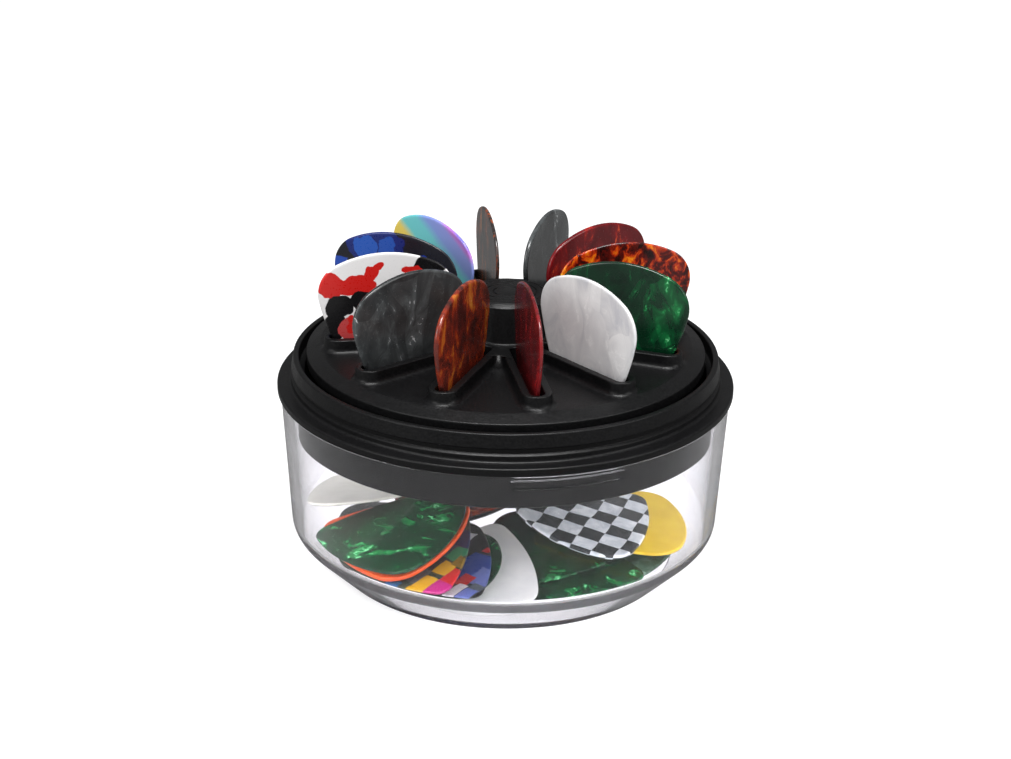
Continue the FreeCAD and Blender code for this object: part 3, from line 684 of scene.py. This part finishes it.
def sector_columns():
    """Columns from a slot out to the edge of its half sector.

    Each is (slot centre, outward direction, collar point at a distance, largest distance,
    kind, angle on the hub or rim).  The first go to the hub, then to the plane between two
    sectors, then to the slope's circle.
    """
    columns = []
    hub_steps = 6
    corner_radius = hub_radius(COLLAR_TOP) + HUB_ROOT
    half_sector = math.pi / SECTORS
    corner = (corner_radius * math.cos(half_sector), corner_radius * math.sin(half_sector))
    for step in range(hub_steps):
        angle = math.pi - math.pi / 2 * step / hub_steps
        on_hub = half_sector * step / hub_steps
        target = (corner_radius * math.cos(on_hub), corner_radius * math.sin(on_hub))
        columns.append(("hub", (SLOT_INNER, 0.0), (math.cos(angle), math.sin(angle)),
                        target, corner[1], on_hub))
    straight_steps = 26
    for step in range(straight_steps + 1):
        share = (step / straight_steps) ** 1.35
        slot_x = SLOT_INNER + (SLOT_OUTER - SLOT_INNER) * share
        collar_x = corner[0] + (COLLAR_OUTER - corner[0]) * share
        columns.append(("side", (slot_x, 0.0), (0.0, 1.0), (collar_x, 0.0),
                        collar_x * WEDGE, half_sector))
    rim_corner = (SLOPE_RADIUS * math.cos(half_sector), SLOPE_RADIUS * math.sin(half_sector))
    corner_turn = math.atan2(rim_corner[1], rim_corner[0] - COLLAR_OUTER)
    turns = [(math.pi / 2 + corner_turn) / 2]
    turns += [corner_turn * (1 - step / 10) for step in range(11)]
    for index, turn in enumerate(turns):
        way = (math.cos(turn), math.sin(turn))
        if index == 0:
            limit = COLLAR_OUTER * WEDGE / (way[1] - way[0] * WEDGE)
            kind = "side"
            angle = half_sector
        else:
            limit = math.sqrt(SLOPE_RADIUS ** 2 - (COLLAR_OUTER * way[1]) ** 2)
            limit -= COLLAR_OUTER * way[0]
            kind = "rim"
            angle = math.atan2(limit * way[1], COLLAR_OUTER + limit * way[0])
        columns.append((kind, (SLOT_OUTER, 0.0), way, (COLLAR_OUTER, 0.0), limit, angle))
    return columns


def along(centre, way, distance):
    return (centre[0] + way[0] * distance, centre[1] + way[1] * distance)


def between(first, second, share):
    return (first[0] + (second[0] - first[0]) * share, first[1] + (second[1] - first[1]) * share)


def top_column(column):
    """Points of one column from the slot's floor up, over the collar and down to the disc."""
    kind, centre, way, collar, limit, _ = column
    points = [(*centre, 33.0), (*along(centre, way, SLOT_HALF - 0.15), 33.0),
              (*along(centre, way, SLOT_HALF), 33.15),
              (*along(centre, way, SLOT_HALF), COLLAR_TOP - SLOT_LIP)]
    for step in range(1, 5):
        angle = math.pi / 8 * step
        reach = SLOT_HALF + SLOT_LIP * (1 - math.cos(angle))
        height = COLLAR_TOP - SLOT_LIP * (1 - math.sin(angle))
        points.append((*along(centre, way, reach), height))
    edge = SLOT_HALF + SLOT_LIP
    for distance, height in [*COLLAR_SIDE, (99.0, DISC_TOP)]:
        if kind == "hub":
            share = min(1.0, (distance - edge) / (limit - edge))
            spot = between(along(centre, way, edge), collar, share)
            points.append((*spot, COLLAR_TOP))
        else:
            wider = collar_root(collar[0])
            reach = min(distance + wider, limit)
            spot = along(collar, way, reach)
            inside = reach < distance + wider
            points.append((*spot, collar_height(reach - wider) if inside else height))
    return points


def under_column(column):
    """Points of one column under the disc, from the pocket's bottom out to the tube or rim."""
    kind, centre, way, collar, _, angle = column
    points = [(*centre, 32.0), (*along(centre, way, POCKET_HALF - 0.3), 32.0),
              (*along(centre, way, POCKET_HALF), 32.3),
              (*along(centre, way, POCKET_HALF), UNDERSIDE - 0.3),
              (*along(centre, way, POCKET_HALF + 0.3), UNDERSIDE)]
    if kind == "hub":
        points.append((TUBE_RADIUS * math.cos(angle), TUBE_RADIUS * math.sin(angle), UNDERSIDE))
    elif kind == "rim":
        points.append((RIM_INNER * math.cos(angle), RIM_INNER * math.sin(angle), UNDERSIDE))
    else:
        corner = TUBE_RADIUS * math.cos(angle)
        start = (hub_radius(COLLAR_TOP) + HUB_ROOT) * math.cos(angle)
        outer = (collar[0] - start) / (COLLAR_OUTER - start)
        across = corner + outer * (COLLAR_OUTER - corner)
        if centre[0] == SLOT_OUTER and way[0] > 0:
            across = (COLLAR_OUTER + RIM_INNER * math.cos(angle)) / 2
        points.append((across, across * WEDGE, UNDERSIDE))
    return points


def hub_rows():
    """(radius, height) from the hub's root up, over its bevel, into the bore and round to the tube."""
    rows = []
    for step in range(1, 5):
        angle = math.pi / 8 * step
        height = COLLAR_TOP + HUB_ROOT * (1 - math.cos(angle))
        rows.append((hub_radius(height) + HUB_ROOT * (1 - math.sin(angle)), height))
    upper = rounded([
        (hub_radius(49.0), 49.0, 0), (8.3, 54.3, 0.25), (7.45, 55.0, 0.15), (7.15, 55.0, 0.08),
        (7.15, 53.2, 0.05), (6.4, 53.2, 0.05), (6.4, 46.95, 0.1), (4.05, 46.95, 0.15),
        (4.05, 32.0, 0.2), (TUBE_RADIUS, 32.0, 0.3), (TUBE_RADIUS, UNDERSIDE, 0)], steps=3)
    return rows + upper


def rim_rows():
    """(radius, height) from the disc's sloped border round its edge to the underside."""
    return rounded([
        (36.3, 44.82, 0), (36.6, 44.65, 0), (38.83, 43.7, 0.35), (38.83, 41.6, 0.25),
        (RIM_INNER, 41.6, 0.2), (RIM_INNER, UNDERSIDE, 0)], steps=4)


def make_carousel():
    columns = sector_columns()
    tops = [top_column(column) for column in columns]
    unders = [under_column(column) for column in columns]
    vertices = []
    faces = []

    def sheet(lines, turn, side):
        """Quads between neighbouring lines of points, turned and mirrored to their half sector."""
        start = len(vertices)
        rotation = Matrix.Rotation(turn, 3, "Z")
        length = len(lines[0])
        for line in lines:
            for across, off, height in line:
                vertices.append(rotation @ Vector((across, off * side, height)))
        for number in range(len(lines) - 1):
            for row in range(length - 1):
                low = start + number * length + row
                faces.append([low, low + length, low + length + 1, low + 1])

    hub_corner = next(c for c in columns if c[0] == "side")
    hub_lines = []
    for column, top in zip(columns, tops):
        if column[0] == "hub" or column is hub_corner:
            angle = column[5]
            line = [top[-1]]
            line += [(r * math.cos(angle), r * math.sin(angle), z) for r, z in hub_rows()]
            hub_lines.append(line)
    rim_lines = []
    for column, top in zip(columns, tops):
        if column[0] == "rim":
            angle = column[5]
            line = [top[-1]]
            line += [(r * math.cos(angle), r * math.sin(angle), z) for r, z in rim_rows()]
            rim_lines.append(line)
    for sector in range(SECTORS):
        turn = FIRST_SLOT + TAU * sector / SECTORS
        for side in (1, -1):
            for lines in (tops, unders, hub_lines, rim_lines):
                sheet(lines, turn, side)
    carousel = finished_mesh("carousel_disc", vertices, faces, sharp=50.0)
    return settle(carousel, "carousel", "black_plastic", "carousel")


# ---------------------------------------------------------------- picks

CROWN_RADIUS = 21.8
SHOULDER_RADIUS = 6.5
SHOULDER_OFFSET = 6.6
SIDE_RADIUS = 42.0
TIP_RADIUS = 2.6
PICK_HEIGHT = 30.5
ORIGIN_DEPTH = 13.0


def pick_outline():
    """The outline of a pick as points with outward directions, crown up, from its tip round."""
    crown = Vector((0, ORIGIN_DEPTH - CROWN_RADIUS))
    tip = Vector((0, ORIGIN_DEPTH - PICK_HEIGHT + TIP_RADIUS))
    rise = math.sqrt((CROWN_RADIUS - SHOULDER_RADIUS) ** 2 - SHOULDER_OFFSET ** 2)
    shoulder = Vector((SHOULDER_OFFSET, crown.y + rise))
    to_tip = tip - shoulder
    from_shoulder = SIDE_RADIUS - SHOULDER_RADIUS
    from_tip = SIDE_RADIUS - TIP_RADIUS
    near = (from_shoulder ** 2 - from_tip ** 2 + to_tip.length ** 2) / (2 * to_tip.length)
    off = math.sqrt(from_shoulder ** 2 - near ** 2)
    way = to_tip.normalized()
    side = shoulder + way * near + Vector((way.y, -way.x)) * off

    def heading(start, end):
        return math.atan2(end.y - start.y, end.x - start.x)

    tip_turn = heading(side, tip)
    shoulder_turn = heading(side, shoulder)
    crown_turn = heading(crown, shoulder)
    arcs = [(tip, TIP_RADIUS, -math.pi / 2, tip_turn, 8),
            (side, SIDE_RADIUS, tip_turn, shoulder_turn, 16),
            (shoulder, SHOULDER_RADIUS, shoulder_turn, crown_turn, 14),
            (crown, CROWN_RADIUS, crown_turn, math.pi / 2, 10)]
    half = []
    for centre, radius, start, end, count in arcs:
        for step in range(count):
            turn = start + (end - start) * step / count
            out = Vector((math.cos(turn), math.sin(turn)))
            half.append((centre + out * radius, out))
    half.append((crown + Vector((0, CROWN_RADIUS)), Vector((0, 1))))
    other = [(Vector((-p.x, p.y)), Vector((-o.x, o.y))) for p, o in reversed(half[1:-1])]
    return half + other


PICK_OUTLINE = pick_outline()


def pick_pose(node):
    """The matrix from a pick's own frame, crown up and face along its depth, in metres."""
    mesh = node.data
    broad = max(mesh.polygons, key=lambda face: face.area).normal.copy()
    flat = abs(broad.z) < 0.5
    middle = Vector((0, 0, 0))
    total = 0.0
    for face in mesh.polygons:
        middle += face.center * face.area
        total += face.area
    middle /= total
    outward = Vector((middle.x, middle.y, 0))
    if flat and broad.cross(Vector((0, 0, 1))).dot(outward) > 0 or not flat and broad.z < 0:
        broad.negate()
    reach = max((vertex.co - middle).length for vertex in mesh.vertices)
    ends = [v.co for v in mesh.vertices if (v.co - middle).length > 0.985 * reach]
    tip = sum(ends, Vector((0, 0, 0))) / len(ends)
    down = tip - middle
    down -= broad * down.dot(broad)
    up = -down.normalized()
    lowest = max((vertex.co - middle).dot(-up) for vertex in mesh.vertices)
    origin = middle - up * lowest + up * (PICK_HEIGHT - ORIGIN_DEPTH) * MM
    across = up.cross(broad)
    depths = [(vertex.co - middle).dot(broad) for vertex in mesh.vertices]
    thickness = (max(depths) - min(depths)) / MM
    origin += broad * (max(depths) + min(depths)) / 2
    pose = Matrix((across, up, broad)).transposed().to_4x4()
    pose.translation = origin
    return pose, thickness


def make_pick(node_name, body, slot, seed):
    """A pick with worn, rounded edges in the place of its CAD node."""
    pose, thickness = pick_pose(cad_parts[node_name])
    half = thickness / 2
    rings = [(0.0, 0.0), (0.02, half * 0.38), (0.09, half * 0.68), (0.2, half * 0.87),
             (0.38, half * 0.97), (0.62, half)]
    levels = [(inset, depth) for inset, depth in reversed(rings)]
    levels += [(inset, -depth) for inset, depth in rings[1:]]
    count = len(PICK_OUTLINE)
    vertices = []
    faces = []
    for inset, depth in levels:
        for point, out in PICK_OUTLINE:
            spot = point - out * inset
            vertices.append(Vector((spot.x, spot.y, depth)))
    for level in range(len(levels) - 1):
        for index in range(count):
            following = (index + 1) % count
            low = level * count
            faces.append([low + index, low + following, low + count + following,
                          low + count + index])
    for first, depth in ((0, half), ((len(levels) - 1) * count, -half)):
        start = len(vertices)
        shares = (0.66, 0.33)
        for share in shares:
            for point, _ in PICK_OUTLINE:
                vertices.append(Vector((point.x * share, point.y * share, depth)))
        middle = len(vertices)
        vertices.append(Vector((0, 0, depth)))
        loops = [first, start, start + count]
        for outer, inner in zip(loops, loops[1:]):
            for index in range(count):
                following = (index + 1) % count
                faces.append([outer + index, outer + following, inner + following, inner + index])
        for index in range(count):
            faces.append([loops[-1] + index, loops[-1] + (index + 1) % count, middle])
    piece = finished_mesh(node_name.replace("slot_pick", "pick").replace("loose_pick", "pick_loose"),
                          vertices, faces, sharp=60.0)
    shift = Vector((41.0 * seed, 17.0 * seed, 5.0 * seed))
    values = []
    for vertex in piece.data.vertices:
        values.extend(vertex.co / MM + shift)
    attribute = piece.data.attributes.new(PLACE, "FLOAT_VECTOR", "POINT")
    attribute.data.foreach_set("vector", values)
    piece.data.transform(pose)
    settle(piece, body, slot, node_name)
    if node_name in OTHER_PRINTS:
        piece.data.materials[0] = OTHER_PRINTS[node_name]
    return piece


LOOSE_FINISHES = {
    "grey": "grey", "green_front": "green_pearl", "green_middle": "green_pearl",
    "yellow": "yellow", "check": "check", "red": "red_pearl", "white": "white",
    "dark_green": "green_pearl", "patch_blue": "colour_patches",
    "patch_yellow": "colour_patches", "orange": "orange", "green_left": "green_pearl",
    "dark": "grey_pearl", "cream": "cream", "blue": "blue_pearl", "amber": "amber_tortoise",
    "dark_red": "dark_red", "tortoise": "tortoise", "pale_blue": "pale_blue",
}


def make_picks():
    names = sorted(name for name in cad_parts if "pick_" in name)
    for seed, name in enumerate(names):
        if name.startswith("slot_pick_"):
            kind = name[len("slot_pick_00_"):]
            body = name
            slot = kind
        else:
            kind = name[len("loose_pick_"):]
            body = "bowl"
            slot = LOOSE_FINISHES[kind]
        printed = slot in ("check", "iridescent", "patchwork", "colour_patches", "blue_pearl")
        make_pick(name, body, slot, 0 if printed else seed + 1)


# ---------------------------------------------------------------- hidden fittings

def finish_fittings():
    """The seal and the pivot's fittings keep their CAD shape and get their materials."""
    for name, slot in (("seal_ring", "seal_silicone"), ("glide_washer", "acetal"),
                       ("retaining_washer", "steel"), ("pivot_screw", "steel")):
        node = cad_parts[name]
        node.data.materials.clear()
        node.data.materials.append(MATERIALS[slot])


# ---------------------------------------------------------------- room

FLOOR_RADIUS = 3.0


def make_floor():
    work = bmesh.new()
    bmesh.ops.create_circle(work, cap_ends=True, segments=96, radius=FLOOR_RADIUS)
    mesh = bpy.data.meshes.new("floor")
    work.to_mesh(mesh)
    work.free()
    floor = bpy.data.objects.new("floor", mesh)
    bpy.context.scene.collection.objects.link(floor)
    finish = Finish("floor_paper")
    finish.surface(Base_Color=(0.42, 0.42, 0.425, 1), Roughness=0.8, Specular_IOR_Level=0.1,
                   Emission_Color=(1, 1, 1, 1), Emission_Strength=0.72)
    dull = finish.add("ShaderNodeBsdfDiffuse", Color=(0.18, 0.18, 0.18, 1))
    path = finish.add("ShaderNodeLightPath")
    mixer = finish.add("ShaderNodeMixShader")
    mirrored = finish.number("SUBTRACT", path.outputs["Is Glossy Ray"],
                             path.outputs["Is Transmission Ray"])
    outside = finish.number("SUBTRACT", 1.0, path.outputs["Is Transmission Ray"])
    lit = finish.number("MINIMUM", path.outputs["Diffuse Depth"], 1.0)
    lighting = finish.number("MULTIPLY", finish.number("MULTIPLY", lit, outside), 0.5)
    inside = finish.number("MULTIPLY", finish.reflected(path), 0.15)
    dimmed = finish.number("MAXIMUM", lighting, inside)
    finish.link(finish.number("MAXIMUM", mirrored, dimmed), mixer.inputs[0])
    finish.link(finish.shader.outputs[0], mixer.inputs[1])
    finish.link(dull.outputs[0], mixer.inputs[2])
    glow = finish.add("ShaderNodeEmission", Color=(0.97, 0.955, 1, 1), Strength=1.5)
    straight = finish.number("SUBTRACT", 1.0, finish.reflected(path))
    seen = finish.number("MULTIPLY", path.outputs["Is Transmission Ray"], straight)
    behind = finish.add("ShaderNodeMixShader")
    finish.link(seen, behind.inputs[0])
    finish.link(mixer.outputs[0], behind.inputs[1])
    finish.link(glow.outputs[0], behind.inputs[2])
    finish.link(behind.outputs[0], finish.output.inputs["Surface"])
    mesh.materials.append(finish.material)


def make_world():
    """White where it is seen directly or through the bowl, and dimmer as light and reflection."""
    world = bpy.data.worlds.new("studio")
    bpy.context.scene.world = world
    world.use_nodes = True
    tree = world.node_tree
    tree.nodes.clear()
    output = tree.nodes.new("ShaderNodeOutputWorld")
    path = tree.nodes.new("ShaderNodeLightPath")
    mirrored = tree.nodes.new("ShaderNodeMath")
    mirrored.operation = "SUBTRACT"
    tree.links.new(path.outputs["Is Glossy Ray"], mirrored.inputs[0])
    tree.links.new(path.outputs["Is Transmission Ray"], mirrored.inputs[1])
    through = tree.nodes.new("ShaderNodeMath")
    through.operation = "MULTIPLY"
    tree.links.new(path.outputs["Diffuse Depth"], through.inputs[0])
    tree.links.new(path.outputs["Is Transmission Ray"], through.inputs[1])
    reflected = tree.nodes.new("ShaderNodeMath")
    reflected.operation = "SUBTRACT"
    tree.links.new(path.outputs["Ray Depth"], reflected.inputs[0])
    tree.links.new(path.outputs["Transmission Depth"], reflected.inputs[1])
    previous = None
    for ray, strength in ((None, 1.0), (path.outputs["Is Transmission Ray"], 1.35),
                          (reflected.outputs[0], 1.0), (path.outputs["Diffuse Depth"], 0.42),
                          (through.outputs[0], 8.0), (mirrored.outputs[0], 0.17)):
        light = tree.nodes.new("ShaderNodeBackground")
        light.inputs["Color"].default_value = (1, 1, 1, 1)
        light.inputs["Strength"].default_value = strength
        if previous is None:
            previous = light
            continue
        mixer = tree.nodes.new("ShaderNodeMixShader")
        tree.links.new(ray, mixer.inputs[0])
        tree.links.new(previous.outputs[0], mixer.inputs[1])
        tree.links.new(light.outputs[0], mixer.inputs[2])
        previous = mixer
    tree.links.new(previous.outputs[0], output.inputs["Surface"])


def area_light(name, place, aim, size, power):
    data = bpy.data.lights.new(name, "AREA")
    data.shape = "RECTANGLE"
    data.size = size[0]
    data.size_y = size[1]
    data.energy = power
    light = bpy.data.objects.new(name, data)
    bpy.context.scene.collection.objects.link(light)
    light.location = place
    direction = Vector(aim) - Vector(place)
    light.rotation_mode = "QUATERNION"
    light.rotation_quaternion = direction.to_track_quat("-Z", "Y")


def make_lights():
    aim = (0, 0, 0.035)
    area_light("overhead", (0.0, -0.2, 0.68), aim, (0.42, 0.22), 5.2)
    area_light("left_box", (-0.6, -0.4, 0.42), aim, (0.3, 0.4), 1.6)
    area_light("right_box", (0.6, -0.3, 0.42), aim, (0.3, 0.4), 1.3)


CAMERA_PLACE = (0.0, -0.35906, 0.18369)
CAMERA_PITCH = 0.389
CAMERA_ROLL = 0.014
CAMERA_LENS = 70.19


def make_camera():
    data = bpy.data.cameras.new("camera")
    data.lens = CAMERA_LENS
    data.sensor_width = 36.0
    data.clip_start = 0.01
    data.clip_end = 20.0
    camera = bpy.data.objects.new("camera", data)
    bpy.context.scene.collection.objects.link(camera)
    tilt = Matrix.Rotation(math.pi / 2 - CAMERA_PITCH, 4, "X")
    roll = Matrix.Rotation(CAMERA_ROLL, 4, "Z")
    camera.matrix_world = Matrix.Translation(CAMERA_PLACE) @ tilt @ roll
    bpy.context.scene.camera = camera


make_bowl()
make_lid()
make_hub_cap()
make_carousel()
make_picks()
finish_fittings()
make_floor()
make_world()
make_lights()
make_camera()
bpy.context.scene.view_settings.view_transform = "Standard"
